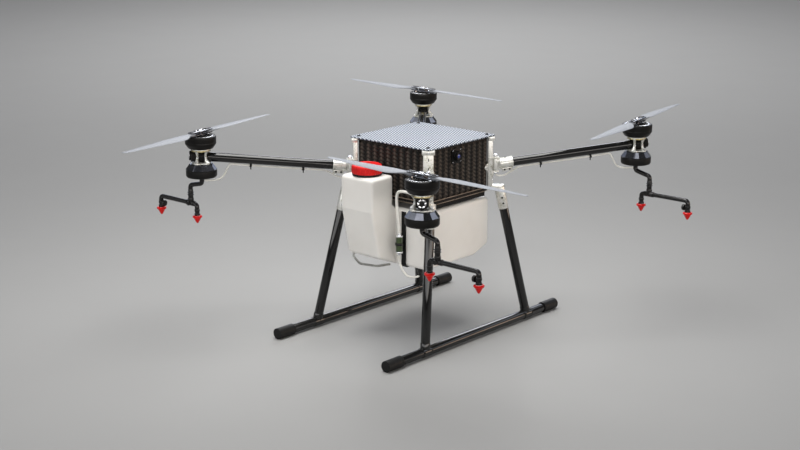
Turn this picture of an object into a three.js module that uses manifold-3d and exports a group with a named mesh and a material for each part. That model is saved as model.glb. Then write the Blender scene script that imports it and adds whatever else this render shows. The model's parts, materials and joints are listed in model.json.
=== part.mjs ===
// Agricultural spray drone: a four-armed frame on skids, with a hollow liquid tank under the
// equipment box and a spray boom under each motor. Millimetres, +Z up, origin on the ground
// below the middle. +X is the front (camera side), -Y is the side with the filler tower.
import * as THREE from 'three';
import { mergeVertices } from 'three/addons/utils/BufferGeometryUtils.js';
import Module from 'manifold-3d';

const wasm = await Module();
wasm.setup();

// ---------- driving dimensions ----------
const GAP = 0.3;                          // clearance between pieces that meet

const BOX = { half: 157, panelHalf: 142, wall: 2.5, floorTop: 461, floorBottom: 457 };
const TOP = { half: 170, corner: 14, top: 640.5, thick: 4 };
const RAIL = { x: 144, width: 14, bottom: 437, half: 136 };
const POST = { inner: 212, outer: 228.5, half: 16.5 };   // distances along the corner diagonal
const HEAD = { out: 5, wider: 4, deep: 14 };              // block under the top plate
const CHEEK = { face: 161.5, corner: 148, wide: 126, narrow: 136 };
const SHELF = { out: 256, low: 463, high: 472 };          // ledge that carries the leg socket
const PIVOT = { at: 169, pin: 5, bore: 5.7, knuckle: 10, low: 521, high: 561, lug: 6, lugRadius: 11 };

const MOTOR = { x: 467.7, y: 546.5 };
const ARM = { tube: 15, wall: 1.5, past: 36, rootZ: 541.5, slope: Math.tan(THREE.MathUtils.degToRad(6)) };
const SLEEVE = { radius: 17.5, from: 15, to: 57, overlap: 25 };
const MOUNT = { upper: 612.5, lower: 574, plate: 4, upperRadius: 31, lowerRadius: 38 };
const CAN = { radius: 50, neck: 38, wall: 3.5 };
const BELL = { bottom: 619, shoulder: 634, top: 660 };
const ESC = { top: 569.6, shoulder: 551, skirt: 529, bottom: 524 };

const PROP = { boltAt: 42, tip: 370, low: 666.3, thick: 6.4, bolt: 4, root: 10.5, pitch: 5 };
const PLATE = { thick: 3, half: 11, gap: 0.6 };
const CLEAR = 18;                         // flat blade root past the bolt before the twist starts

const LEG = { top: [182.5, 174, 466], foot: [237, 262, 18.5], radius: 15, socket: 19, hold: 74 };
const SKID = { x: 237, radius: 15, z: 18.5, half: 434.6, shift: -12.6, cap: 18.5, capLength: 70 };
const FOOT = { radius: 17.5, half: 25 };

const BATTERY = { x: 105, y: 62, top: 545, handle: 560, grip: 35 };
const PUMP = { x: [70, 128], y: [-138, -92], top: 500, motorEnd: -10, motorRadius: 19 };
const CAMERA = { y: -22, z: 598, half: 24, plate: 4, barrel: 16, reach: 17, bowl: 12 };

const TANK = { half: 152, wall: 3.5, corner: 7 };
const TOWER = { left: -112, right: 26, top: 540 };
const NECK = { x: -43, y: -223, radius: 38, bore: 34, top: 566 };
const CAP = { radius: 49.5, bottom: 547.3, top: 575, skirt: 41, sides: 20 };

const BOOM = { pipe: 7.5, start: 523.7, bend: 502, drop: 57, elbow: 492, bar: 429, far: 207, near: 28 };
const ELBOW_OVERLAP = 4;
const COUPLING = { low: 456, high: 471, radius: 11 };
const VALVE = { z: 406, reach: 19, radius: 7 };
const NOZZLE = { top: 391, tip: 366, radius: 14, tipRadius: 3, stem: 8 };
const HOSE = { radius: 4, sides: 6, steps: 22 };
const SUPPLY = { radius: 5, sides: 6, steps: 22 };
const FILTER = { at: [57, -181], low: 291, high: 350, radius: 12, outlet: [117, -148], tankUnderside: 243 };

const SIDES = 10;                         // facets on a round tube
const PIPE_SIDES = 6;                     // facets on a spray pipe
const CAN_SIDES = 14;                     // facets on a motor can

const CORNERS = [
  { name: 'front_right', sx: 1, sy: -1, prop: 0 },
  { name: 'front_left', sx: 1, sy: 1, prop: 100.5 },
  { name: 'rear_left', sx: -1, sy: 1, prop: 0 },
  { name: 'rear_right', sx: -1, sy: -1, prop: 100.5 },
];

// ---------- materials ----------
const finish = (color, roughness, metalness) =>
  new THREE.MeshStandardMaterial({ color, roughness, metalness });
const carbonTop = finish(0xa9b4c4, 0.25, 0.2);
const carbon = finish(0x2b2622, 0.35, 0.2);
const tubeBlack = finish(0x0c0c0c, 0.18, 0.1);
const castAluminium = finish(0xd8d8cf, 0.38, 0.9);
const canBlack = finish(0x141312, 0.4, 0.3);
const bladeGrey = finish(0xa4adba, 0.45, 0.1);
const tankWhite = finish(0xd6d3ca, 0.5, 0);
const capRed = finish(0xd01010, 0.4, 0);
const pipeBlack = finish(0x1b1b1a, 0.4, 0);
const hoseWhite = finish(0xd9d8d2, 0.45, 0);
const rubber = finish(0x161616, 0.85, 0);
const packGrey = finish(0x3a3d42, 0.6, 0);

// ---------- solid helpers ----------
function solid(geometry) {
  const bare = geometry.clone();
  bare.deleteAttribute('normal');
  bare.deleteAttribute('uv');
  const merged = mergeVertices(bare, 1e-4);
  return new wasm.Manifold(new wasm.Mesh({
    numProp: 3,
    vertProperties: new Float32Array(merged.attributes.position.array),
    triVerts: new Uint32Array(merged.index.array),
  }));
}

function geometryOf(manifold) {
  const mesh = manifold.getMesh();
  const geometry = new THREE.BufferGeometry();
  const count = mesh.vertProperties.length / mesh.numProp;
  const positions = new Float32Array(count * 3);
  for (let i = 0; i < count; i += 1) {
    for (let k = 0; k < 3; k += 1) {
      positions[i * 3 + k] = mesh.vertProperties[i * mesh.numProp + k];
    }
  }
  geometry.setAttribute('position', new THREE.BufferAttribute(positions, 3));
  geometry.setIndex(new THREE.BufferAttribute(new Uint32Array(mesh.triVerts), 1));
  return geometry;
}

function join(geometries, cuts = []) {
  let total = geometries.map(solid).reduce((a, b) => a.add(b));
  for (const cut of cuts) {
    total = total.subtract(solid(cut));
  }
  return geometryOf(total);
}

function piece(name, geometry, material, parent) {
  const mesh = new THREE.Mesh(geometry, material);
  mesh.name = name;
  parent.add(mesh);
  return mesh;
}

const vec = (x, y, z) => new THREE.Vector3(x, y, z);

function box(x0, x1, y0, y1, z0, z1) {
  const geometry = new THREE.BoxGeometry(x1 - x0, y1 - y0, z1 - z0);
  return geometry.translate((x0 + x1) / 2, (y0 + y1) / 2, (z0 + z1) / 2);
}

// Round bar from point a to point b.
function rod(a, b, radius, sides = SIDES) {
  const along = b.clone().sub(a);
  const geometry = new THREE.CylinderGeometry(radius, radius, along.length(), sides);
  const turn = new THREE.Quaternion().setFromUnitVectors(vec(0, 1, 0), along.clone().normalize());
  geometry.applyQuaternion(turn);
  return geometry.translate(...a.clone().add(b).multiplyScalar(0.5).toArray());
}

const upright = (x, y, z0, z1, radius, sides = SIDES) => rod(vec(x, y, z0), vec(x, y, z1), radius, sides);

// Solid of revolution about +Z from [radius, height] pairs.
function turned(profile, sides = SIDES) {
  const points = profile.map(([r, z]) => new THREE.Vector2(r, z));
  return new THREE.LatheGeometry(points, sides).rotateX(Math.PI / 2);
}

// Extruded outline in plan, from height z0 to z1.
function slab(points, z0, z1) {
  const shape = new THREE.Shape(points.map(([x, y]) => new THREE.Vector2(x, y)));
  const geometry = new THREE.ExtrudeGeometry(shape, { depth: z1 - z0, bevelEnabled: false });
  return geometry.translate(0, 0, z0);
}

// Outline given in the Y-Z plane and run along X, with rounded rims at both ends.
function sideProfile(points, x0, x1, round = 0) {
  const shape = new THREE.Shape(points.map(([y, z]) => new THREE.Vector2(y, z)));
  const geometry = new THREE.ExtrudeGeometry(shape, {
    depth: x1 - x0 - 2 * round,
    bevelEnabled: round > 0,
    bevelThickness: round,
    bevelSize: round,
    bevelOffset: -round,
    bevelSegments: 2,
  });
  const axes = new THREE.Matrix4().makeBasis(vec(0, 1, 0), vec(0, 0, 1), vec(1, 0, 0));
  return geometry.applyMatrix4(axes).translate(x0 + round, 0, 0);
}

// Outline shrunk by a wall thickness, corner by corner. Points run anticlockwise.
function shrunk(points, wall) {
  return points.map((point, i) => {
    const before = points[(i + points.length - 1) % points.length];
    const after = points[(i + 1) % points.length];
    const a = new THREE.Vector2(point[0] - before[0], point[1] - before[1]).normalize();
    const b = new THREE.Vector2(after[0] - point[0], after[1] - point[1]).normalize();
    const inward = new THREE.Vector2(-a.y - b.y, a.x + b.x);
    const reach = wall / (1 + a.dot(b));
    return [point[0] + inward.x * reach, point[1] + inward.y * reach];
  });
}

// Tube that follows a smooth curve through the points.
function hose(points, radius, sides, steps) {
  const curve = new THREE.CatmullRomCurve3(points.map((p) => vec(...p)), false, 'centripetal');
  const shape = new THREE.Shape();
  for (let i = 0; i < sides; i += 1) {
    const a = (i / sides) * Math.PI * 2;
    const place = [radius * Math.cos(a), radius * Math.sin(a)];
    if (i === 0) {
      shape.moveTo(...place);
    } else {
      shape.lineTo(...place);
    }
  }
  return new THREE.ExtrudeGeometry(shape, { steps, extrudePath: curve, bevelEnabled: false });
}

// Point at distance d along the corner diagonal and t across it, in a corner's own quadrant.
const diagonal = (d, t) => [(d + t) / Math.SQRT2, (d - t) / Math.SQRT2];

// ---------- equipment box ----------
const drone = new THREE.Group();

function cutSquare(half, cut) {
  const points = [];
  for (const [sx, sy] of [[1, 1], [-1, 1], [-1, -1], [1, -1]]) {
    const first = [sx * half, sy * cut];
    const second = [sx * cut, sy * half];
    points.push(...(sx * sy > 0 ? [first, second] : [second, first]));
  }
  return points;
}

function roundedSquare(half, radius) {
  const shape = new THREE.Shape();
  const flat = half - radius;
  [[flat, flat, 0], [-flat, flat, 1], [-flat, -flat, 2], [flat, -flat, 3]].forEach(([x, y, quarter]) => {
    shape.absarc(x, y, radius, (quarter * Math.PI) / 2, ((quarter + 1) * Math.PI) / 2, false);
  });
  return shape;
}

function equipmentBox() {
  const plate = new THREE.ExtrudeGeometry(roundedSquare(TOP.half, TOP.corner), {
    depth: TOP.thick,
    bevelEnabled: false,
    curveSegments: 5,
  });
  plate.translate(0, 0, TOP.top - TOP.thick);
  piece('top_plate', plate, carbonTop, drone);

  const floor = slab(cutSquare(BOX.half + 1.5, BOX.panelHalf - 1.5), BOX.floorBottom, BOX.floorTop);
  const rails = [-1, 1].map((side) => box(
    side * RAIL.x - RAIL.width / 2, side * RAIL.x + RAIL.width / 2,
    -RAIL.half, RAIL.half, RAIL.bottom, BOX.floorBottom + 1,
  ));
  piece('base_tray', join([floor, ...rails]), carbon, drone);

  const low = BOX.floorTop + GAP;
  const high = TOP.top - TOP.thick - GAP;
  const names = ['front_panel', 'left_panel', 'rear_panel', 'right_panel'];
  names.forEach((name, i) => {
    const panel = box(BOX.half - BOX.wall, BOX.half, -BOX.panelHalf, BOX.panelHalf, low, high);
    piece(name, panel.rotateZ((i * Math.PI) / 2), carbon, drone);
  });
}

function corePieces() {
  const floor = BOX.floorTop + GAP;
  const { x, y, top, handle, grip } = BATTERY;
  const cells = box(-x, x, -y, y, floor, top);
  const bow = box(-grip - 10, grip + 10, -9, 9, top - 1, handle);
  const grasp = box(-grip, grip, -10, 10, top, handle - 6);
  piece('battery', join([cells, bow], [grasp]), packGrey, drone);

  const head = box(...PUMP.x, ...PUMP.y, floor, PUMP.top);
  const middle = (PUMP.y[0] + PUMP.y[1]) / 2;
  const level = floor + PUMP.motorRadius + 1;
  const motor = rod(
    vec(PUMP.x[0] + 2, middle, level),
    vec(PUMP.motorEnd, middle, level),
    PUMP.motorRadius,
  );
  piece('pump', join([head, motor]), canBlack, drone);

  const { half, plate, barrel, reach: out, bowl } = CAMERA;
  const lens = (dx) => vec(BOX.half + dx, CAMERA.y, CAMERA.z);
  const base = box(
    BOX.half + GAP, BOX.half + plate,
    CAMERA.y - half, CAMERA.y + half, CAMERA.z - half, CAMERA.z + half,
  );
  const recess = rod(lens(out - 4), lens(out + 1), bowl);
  piece('camera', join([base, rod(lens(plate - 1), lens(out), barrel)], [recess]), canBlack, drone);
}

// ---------- corner post: holds the arm pivot and the leg socket ----------
const legLine = vec(...LEG.foot).sub(vec(...LEG.top)).normalize();

// Clamp cheeks that wrap the corner and lie along both panels, as far back as `end`.
function cheekOutline(end) {
  const { face, corner } = CHEEK;
  const panel = BOX.half + GAP;
  const fold = (POST.inner + 2.5) * Math.SQRT2 - panel;
  return [
    [panel, end], [face, end], [face, corner], [corner, face], [end, face], [end, panel],
    [fold, panel], [panel, fold],
  ];
}

function cornerPost(name, parent) {
  const rect = (d0, d1, half) => [
    diagonal(d0, -half), diagonal(d1, -half), diagonal(d1, half), diagonal(d0, half),
  ].reverse();
  const top = TOP.top - TOP.thick - GAP;
  const bar = slab(rect(POST.inner, POST.outer, POST.half), BOX.floorBottom, top);
  const head = slab(rect(POST.inner, POST.outer + HEAD.out, POST.half + HEAD.wider), top - HEAD.deep, top);
  const cheeks = [slab(cheekOutline(CHEEK.wide), 524, 532), slab(cheekOutline(CHEEK.narrow), 513, 551)];
  const pivot = (z0, z1, radius, sides) => upright(PIVOT.at, PIVOT.at, z0, z1, radius, sides);
  const lugs = [
    [PIVOT.low - PIVOT.lug, PIVOT.low],
    [PIVOT.high, PIVOT.high + PIVOT.lug],
  ].flatMap(([z0, z1]) => [
    slab(rect(POST.outer - 4, PIVOT.at * Math.SQRT2, PIVOT.lugRadius), z0, z1),
    pivot(z0, z1, PIVOT.lugRadius, 10),
  ]);
  const pin = pivot(PIVOT.low - PIVOT.lug - 3, PIVOT.high + PIVOT.lug + 3, PIVOT.pin, 8);
  const nut = pivot(PIVOT.high + PIVOT.lug - 1, PIVOT.high + PIVOT.lug + 5, 8, 6);

  const start = vec(...LEG.top).addScaledVector(legLine, -6);
  const socket = rod(start, vec(...LEG.top).addScaledVector(legLine, LEG.hold), LEG.socket);
  const bore = rod(
    vec(...LEG.top).addScaledVector(legLine, -GAP),
    vec(...LEG.top).addScaledVector(legLine, LEG.hold + 5),
    LEG.radius + GAP,
  );
  const shelf = slab(rect(POST.outer - 6, SHELF.out, POST.half), SHELF.low, SHELF.high);
  const post = join([bar, head, ...cheeks, ...lugs, pin, nut, socket, shelf], [bore]);
  piece(`corner_post_${name}`, post, castAluminium, parent);
}

function leg(name, parent) {
  const foot = vec(...LEG.foot);
  const tube = rod(vec(...LEG.top), foot, LEG.radius);
  const hollow = rod(
    vec(...LEG.top).addScaledVector(legLine, -1),
    foot.clone().addScaledVector(legLine, -FOOT.radius - 4),
    LEG.radius - 2,
    12,
  );
  const [x, y, z] = LEG.foot;
  const clamp = rod(vec(x, y - FOOT.half, z), vec(x, y + FOOT.half, z), FOOT.radius);
  const bore = rod(vec(x, y - 60, z), vec(x, y + 60, z), SKID.radius + GAP);
  piece(`leg_${name}`, join([tube, clamp], [hollow, bore]), tubeBlack, parent);
}

function skid(name, side) {
  const y0 = -SKID.half + SKID.shift;
  const y1 = SKID.half + SKID.shift;
  const at = (y) => vec(side * SKID.x, y, SKID.z);
  const parts = [
    rod(at(y0 + 5), at(y1 - 5), SKID.radius),
    rod(at(y0), at(y0 + SKID.capLength), SKID.cap),
    rod(at(y1 - SKID.capLength), at(y1), SKID.cap),
  ];
  piece(`skid_${name}`, join(parts), tubeBlack, drone);
}

// ---------- arm: swings about the pivot pin in the corner post ----------
const reach = Math.hypot(MOTOR.x - PIVOT.at, MOTOR.y - PIVOT.at);
const yaw = Math.atan2(MOTOR.y - PIVOT.at, MOTOR.x - PIVOT.at);
const axisZ = (s) => ARM.rootZ + s * ARM.slope;
const onArm = (s, drop = 0) => vec(s, 0, axisZ(s) - drop);

function armPieces(name, parent) {
  const arm = new THREE.Group();
  arm.position.set(PIVOT.at, PIVOT.at, 0);
  arm.rotation.z = yaw;
  parent.add(arm);

  const knuckle = upright(0, 0, PIVOT.low + GAP, PIVOT.high - GAP, PIVOT.knuckle);
  const web = box(0, SLEEVE.from + 4, -8, 8, PIVOT.low + 4, PIVOT.high - 4);
  const sleeve = rod(onArm(SLEEVE.from), onArm(SLEEVE.to), SLEEVE.radius);
  const pinBore = upright(0, 0, PIVOT.low - 5, PIVOT.high + 5, PIVOT.bore, 8);
  const tubeBore = rod(onArm(SLEEVE.overlap - GAP), onArm(SLEEVE.to + 5), ARM.tube + GAP);
  const joined = join([knuckle, web, sleeve], [pinBore, tubeBore]);
  piece(`arm_socket_${name}`, joined, castAluminium, arm);

  const outer = rod(onArm(SLEEVE.overlap), onArm(reach + ARM.past), ARM.tube);
  const inner = rod(onArm(SLEEVE.overlap - 1), onArm(reach + ARM.past - 4), ARM.tube - ARM.wall);
  piece(`arm_tube_${name}`, join([outer], [inner]), tubeBlack, arm);

  const line = [
    [0, 0, 511.5], [0, 0, 506.5], [4, 0, 501], [13, 0, 497.5], [27, 0, 500], [44, 0, 508], [62, 0, 519],
    ...[84, 150, 250, 350, 386].map((s) => [s, 0, axisZ(s) - 20]),
    ...[[-84, 551], [-73, 530], [-60, 517], [-41, 512]].map(([back, z]) => [reach + back, 0, z]),
    [reach - BOOM.pipe - 1.5, 0, 512],
  ];
  piece(`arm_hose_${name}`, hose(line, HOSE.radius, HOSE.sides, HOSE.steps), hoseWhite, arm);

  const upper = turned([
    [0, 0], [MOUNT.upperRadius, 0], [MOUNT.upperRadius, MOUNT.plate], [15, MOUNT.plate], [15, 18],
    [40, 21], [40, 37], [0, 37],
  ], 10).translate(reach, 0, MOUNT.upper);
  const lower = upright(reach, 0, MOUNT.lower - MOUNT.plate, MOUNT.lower, MOUNT.lowerRadius, 10);
  const clamp = rod(onArm(reach - 20), onArm(reach + 32), ARM.tube + 4, 8);
  const struts = [];
  for (const [a, b] of [[-14, -21], [-14, 21], [14, -21], [14, 21]]) {
    struts.push(box(reach + a - 4, reach + a + 4, b - 4, b + 4, MOUNT.lower - 1, MOUNT.upper + 1));
  }
  const ears = box(reach - 20, reach + 19, -24, 24, axisZ(reach) - 4, axisZ(reach) + 4);
  const pass = rod(onArm(reach - 45), onArm(reach + 45), ARM.tube + GAP);
  piece(`motor_mount_${name}`, join([upper, lower, clamp, ears, ...struts], [pass]), castAluminium, arm);
}

// ---------- motor, propeller and spray boom, square to the frame ----------
function stationPieces(name, parent, propAngle, hand) {
  const station = new THREE.Group();
  station.position.set(MOTOR.x, MOTOR.y, 0);
  parent.add(station);

  const housing = turned([
    [0, ESC.top], [CAN.neck - 2, ESC.top], [CAN.radius, ESC.shoulder], [CAN.radius, ESC.skirt],
    [CAN.radius - 4, ESC.bottom], [0, ESC.bottom],
  ].reverse(), CAN_SIDES);
  piece(`esc_housing_${name}`, housing, canBlack, station);

  const prop = new THREE.Group();
  prop.rotation.z = THREE.MathUtils.degToRad(propAngle);
  station.add(prop);

  const inside = CAN.radius - CAN.wall;
  const bell = turned([
    [0, BELL.top - 5], [inside, BELL.top - 5], [inside, BELL.shoulder + 1.5],
    [CAN.neck - CAN.wall, BELL.bottom], [CAN.neck, BELL.bottom], [CAN.radius, BELL.shoulder],
    [CAN.radius, BELL.top - 1.5], [CAN.radius - 2, BELL.top], [0, BELL.top],
  ], CAN_SIDES);
  const bladeTop = PROP.low + PROP.thick;
  const plates = [
    [PROP.low - PLATE.gap - PLATE.thick, PROP.low - PLATE.gap],
    [bladeTop + PLATE.gap, bladeTop + PLATE.gap + PLATE.thick],
  ].flatMap(([z0, z1]) => [
    box(-PROP.boltAt, PROP.boltAt, -PLATE.half, PLATE.half, z0, z1),
    upright(PROP.boltAt, 0, z0, z1, PLATE.half, 10),
    upright(-PROP.boltAt, 0, z0, z1, PLATE.half, 10),
  ]);
  const shaft = upright(0, 0, BELL.top - 1, bladeTop + PLATE.thick + 3, 8, 8);
  const bolts = [-1, 1].map((side) => upright(
    side * PROP.boltAt, 0, PROP.low - PLATE.thick, bladeTop + PLATE.thick + 2, PROP.bolt, 8,
  ));
  piece(`rotor_${name}`, join([bell, ...plates, shaft, ...bolts]), canBlack, prop);

  for (const [tag, turn] of [['a', 0], ['b', Math.PI]]) {
    const blade = piece(`blade_${tag}_${name}`, bladeGeometry(), bladeGrey, prop);
    blade.rotation.z = turn;
    blade.scale.y = hand;
  }
  piece(`spray_boom_${name}`, boomGeometry(), pipeBlack, station);
}

// Blade along +X from its bolt: planform first, then twisted about its own span.
function bladeGeometry() {
  const { boltAt, tip, root } = PROP;
  const shape = new THREE.Shape();
  shape.moveTo(boltAt + 5, -root);
  shape.lineTo(boltAt + CLEAR, -root);
  shape.bezierCurveTo(75, -11, 90, -18, 118, -18.5);
  shape.bezierCurveTo(180, -18, 290, -12, tip - 9, -9);
  shape.quadraticCurveTo(tip, -8, tip, -2);
  shape.bezierCurveTo(335, 12, 230, 22, 130, 31);
  shape.bezierCurveTo(100, 33, 82, 22, boltAt + CLEAR, root);
  shape.lineTo(boltAt + 5, root);
  shape.absarc(boltAt, 0, root, Math.PI / 2, (3 * Math.PI) / 2, false);
  const hole = new THREE.Path();
  hole.absarc(boltAt, 0, PROP.bolt + 1, 0, Math.PI * 2, true);
  shape.holes.push(hole);
  const geometry = new THREE.ExtrudeGeometry(shape, {
    depth: PROP.thick,
    bevelEnabled: false,
    curveSegments: 3,
  });
  const place = geometry.attributes.position;
  for (let i = 0; i < place.count; i += 1) {
    const x = place.getX(i);
    const y = place.getY(i);
    const z = place.getZ(i);
    const out = THREE.MathUtils.clamp((x - boltAt - CLEAR) / (tip - boltAt - CLEAR), 0, 1);
    const thin = THREE.MathUtils.lerp(1, 0.35, Math.min(1, out * 2));
    const ease = Math.sin((Math.min(1, out * 5) * Math.PI) / 2) * (1 - 0.55 * out);
    const pitch = -THREE.MathUtils.degToRad(PROP.pitch) * ease;
    const w = (z - PROP.thick / 2) * thin;
    place.setY(i, y * Math.cos(pitch) - w * Math.sin(pitch));
    place.setZ(i, PROP.low + PROP.thick / 2 + y * Math.sin(pitch) + w * Math.cos(pitch));
  }
  return geometry;
}

function boomGeometry() {
  const { pipe, start, bend, drop, elbow, bar, far, near } = BOOM;
  const run = [[0, start], [0, bend], [drop, elbow], [drop, bar]];
  const parts = [];
  for (let i = 1; i < run.length; i += 1) {
    const a = vec(run[i - 1][0], 0, run[i - 1][1]);
    const b = vec(run[i][0], 0, run[i][1]);
    const along = b.clone().sub(a).normalize();
    const past = i < run.length - 1 ? ELBOW_OVERLAP : 0;
    parts.push(rod(a, b.addScaledVector(along, past), pipe, PIPE_SIDES));
  }
  parts.push(rod(vec(near, 0, bar), vec(far, 0, bar), pipe, PIPE_SIDES));
  parts.push(upright(drop, 0, COUPLING.low, COUPLING.high, COUPLING.radius, PIPE_SIDES));
  for (const x of [near, far]) {
    parts.push(upright(x, 0, NOZZLE.top - 1, bar, NOZZLE.stem, PIPE_SIDES));
    parts.push(turned([
      [0, NOZZLE.tip], [NOZZLE.tipRadius, NOZZLE.tip], [NOZZLE.radius, NOZZLE.top - 6],
      [NOZZLE.radius, NOZZLE.top], [0, NOZZLE.top],
    ], 8).translate(x, 0, 0));
  }
  parts.push(rod(vec(far, 0, VALVE.z), vec(far - VALVE.reach, 0, VALVE.z), VALVE.radius, PIPE_SIDES));
  return join(parts);
}

// ---------- tank, filler and liquid lines ----------
const tankSide = [
  [-160, 243], [88, 243], [162, 272], [162, 420], [150, 432], [-148, 432], [-160, 420],
];
const towerSide = [
  [-150, 245], [-150, 425], [-174, 445], [-174, TOWER.top], [-274, TOWER.top], [-274, 432],
  [-240, 277], [-160, 245],
];

function tankPieces() {
  const { half, wall, corner } = TANK;
  const outer = [
    sideProfile(tankSide, -half, half, corner),
    sideProfile(towerSide, TOWER.left, TOWER.right, 4),
    upright(NECK.x, NECK.y, TOWER.top - 2, NECK.top, NECK.radius, CAP.sides),
  ];
  const hollow = [
    sideProfile(shrunk(tankSide, wall), -half + wall, half - wall, corner - 2),
    sideProfile(shrunk(towerSide, wall), TOWER.left + wall, TOWER.right - wall, 2),
    upright(NECK.x, NECK.y, TOWER.top - wall - 4, NECK.top + 2, NECK.bore, CAP.sides),
  ];
  piece('tank', join(outer, hollow), tankWhite, drone);

  const seal = turned([
    [NECK.radius + 1, TOWER.top + GAP], [CAP.radius - 3, TOWER.top + GAP],
    [CAP.radius - 3, CAP.bottom - GAP], [NECK.radius + 1, CAP.bottom - GAP],
    [NECK.radius + 1, TOWER.top + GAP],
  ], CAP.sides);
  piece('cap_seal', seal.translate(NECK.x, NECK.y, 0), rubber, drone);

  const body = turned([
    [0, CAP.top - 5], [CAP.skirt, CAP.top - 5], [CAP.skirt, CAP.bottom],
    [CAP.radius - 2, CAP.bottom], [CAP.radius, CAP.bottom + 4], [CAP.radius, CAP.top - 6],
    [CAP.radius - 6, CAP.top], [0, CAP.top],
  ], CAP.sides);
  piece('filler_cap', body.translate(NECK.x, NECK.y, 0), capRed, drone);
}

function liquidLine() {
  const [x, y] = FILTER.at;
  const filter = turned([
    [0, FILTER.low - 6], [SUPPLY.radius, FILTER.low - 6], [SUPPLY.radius, FILTER.low],
    [FILTER.radius, FILTER.low + 1], [FILTER.radius, FILTER.high - 1],
    [SUPPLY.radius, FILTER.high], [SUPPLY.radius, FILTER.high + 5], [0, FILTER.high + 5],
  ], 12).translate(x, y, 0);
  const [ox, oy] = FILTER.outlet;
  const down = [
    [x, y, FILTER.low - 3], [x + 2, y, 262], [x + 12, y + 2, 236], [x + 32, y + 8, 217],
    [ox - 8, oy - 5, 215], [ox, oy, 226],
  ];
  const outlet = upright(ox, oy, 220, FILTER.tankUnderside - GAP, 9, 8);
  const lower = hose(down, SUPPLY.radius, SUPPLY.sides, 12);
  piece('line_filter', join([filter, outlet, lower]), packGrey, drone);

  const up = [
    [x, y, FILTER.high + 5 + GAP], [55, -181, 385], [51, -183, 425], [48, -183, 462], [50, -183, 482],
    [58, -183, 493], [72, -183, 497], [88, -183, 494], [102, -181, 482], [111, -176, 463],
    [114, -166, 450], [114, -150, 446], [114, -132, 446],
  ];
  piece('supply_hose', hose(up, SUPPLY.radius, SUPPLY.sides, SUPPLY.steps), hoseWhite, drone);
}

// ---------- assembly ----------
equipmentBox();
corePieces();
skid('front', 1);
skid('rear', -1);
tankPieces();
liquidLine();
for (const { name, sx, sy, prop } of CORNERS) {
  const corner = new THREE.Group();
  corner.scale.set(sx, sy, 1);
  drone.add(corner);
  cornerPost(name, corner);
  leg(name, corner);
  armPieces(name, corner);
  stationPieces(name, corner, prop, sx * sy);
}

export default drone;
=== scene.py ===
import json
from math import asin, atan2, copysign, cos, hypot, pi, radians, sin, sqrt, tan

import bpy
from mathutils import Matrix, Vector


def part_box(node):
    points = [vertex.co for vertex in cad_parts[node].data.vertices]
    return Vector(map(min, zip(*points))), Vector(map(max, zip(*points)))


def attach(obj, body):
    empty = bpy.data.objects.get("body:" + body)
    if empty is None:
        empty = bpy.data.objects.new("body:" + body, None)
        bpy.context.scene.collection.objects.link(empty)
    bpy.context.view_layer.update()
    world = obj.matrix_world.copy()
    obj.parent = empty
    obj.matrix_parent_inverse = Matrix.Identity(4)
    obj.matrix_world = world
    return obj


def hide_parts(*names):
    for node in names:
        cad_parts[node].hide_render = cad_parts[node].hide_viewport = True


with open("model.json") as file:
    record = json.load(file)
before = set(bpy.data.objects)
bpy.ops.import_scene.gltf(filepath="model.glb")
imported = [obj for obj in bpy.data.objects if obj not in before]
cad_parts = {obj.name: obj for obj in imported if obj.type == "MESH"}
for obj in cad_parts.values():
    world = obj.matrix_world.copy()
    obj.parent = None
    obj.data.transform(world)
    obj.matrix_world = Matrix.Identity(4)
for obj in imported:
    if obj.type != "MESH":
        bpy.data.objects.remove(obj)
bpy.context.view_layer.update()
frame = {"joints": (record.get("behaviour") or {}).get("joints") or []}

# Looks for the spray drone. Shapes are worked out in millimetres and stored in metres.
# Everything at a corner is made once, in the quadrant where x and y are positive, and mirrored.
MM = 0.001
JOINTS = {joint["name"]: joint for joint in frame["joints"]}
CORNERS = {"front_right": (1, -1), "front_left": (1, 1), "rear_left": (-1, 1), "rear_right": (-1, -1)}


def joint_place(name):
    return Vector(JOINTS[name]["pos_m"]) / MM


def node_box(name):
    low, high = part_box(name)
    return low / MM, high / MM


# ----- places read from the frame -----
PIVOT = joint_place("arm_fold_front_left")
MOTOR = joint_place("rotor_spin_front_left")
PANEL_FACE, PANEL_HALF, PANEL_TOP = node_box("front_panel")[1]
PANEL_BASE = node_box("front_panel")[0].z
PLATE_LOW, PLATE_HIGH = node_box("top_plate")
TRAY_LOW, TRAY_HIGH = node_box("base_tray")
TANK_HALF = node_box("tank")[1].x
CAN_LOW, CAN_HIGH = node_box("esc_housing_front_left")
BOOM_TOP = node_box("spray_boom_front_left")[1].z
SKID_LOW, SKID_HIGH = node_box("skid_front")
CAP_LOW, CAP_HIGH = node_box("filler_cap")
SEAL_LOW, SEAL_HIGH = node_box("cap_seal")
CAMERA_LOW, CAMERA_HIGH = node_box("camera")

REACH = hypot(MOTOR.x - PIVOT.x, MOTOR.y - PIVOT.y)
YAW = atan2(MOTOR.y - PIVOT.y, MOTOR.x - PIVOT.x)
DIHEDRAL = radians(6)
ARM_ROOT_Z = 541.5
UP, OUT = (0, 0, 1), (1, 0, 0)

# Pitches of the front panel's relief: its upright ropes, and the twist along each of them.
COLUMN_PITCH = 28.4
TWIST_PITCH = 12.6
# Takes a flat outline's X, Y and Z onto Y, Z and X, so that it stands across the X axis.
UPRIGHT = Matrix(((0, 0, 1, 0), (1, 0, 0, 0), (0, 1, 0, 0), (0, 0, 0, 1)))


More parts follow.
